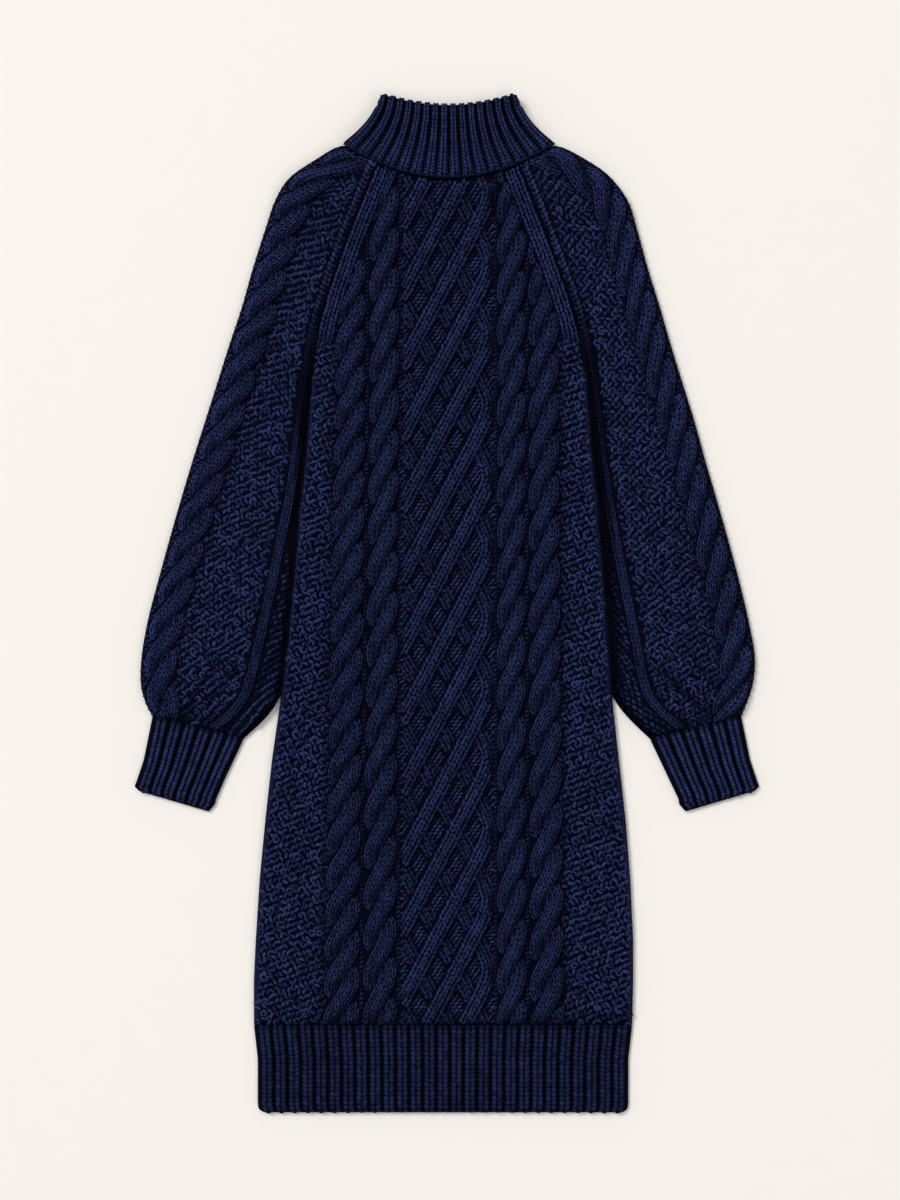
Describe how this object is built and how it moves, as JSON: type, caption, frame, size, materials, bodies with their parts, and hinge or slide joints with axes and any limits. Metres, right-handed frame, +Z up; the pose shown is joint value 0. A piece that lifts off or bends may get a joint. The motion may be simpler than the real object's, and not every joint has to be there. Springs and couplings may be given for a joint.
{
  "type": "sweater dress",
  "caption": "Long cable-knit wool sweater dress with a turned-down ribbed roll collar, raglan bishop sleeves, ribbed cuffs and a deep ribbed hem, laid flat.",
  "frame": {"origin": "on the surface that the back rests on, under the middle of the dress's bounding box", "axes": "+X to the viewer's right seen from above, +Y from the hem to the collar, +Z up through the cloth, from the back to the front"},
  "size_m": [0.657, 1.069, 0.0181],
  "materials": {
    "wool_body": "matte knitted wool",
    "wool_rib": "matte ribbed wool"
  },
  "bodies": {
    "root": {"back_panel": "wool_body", "front_panel": "wool_body", "sleeve_left": "wool_body", "sleeve_right": "wool_body", "collar": "wool_rib", "cuff_left": "wool_rib", "cuff_right": "wool_rib", "hem_band": "wool_rib"}
  },
  "joints": []
}
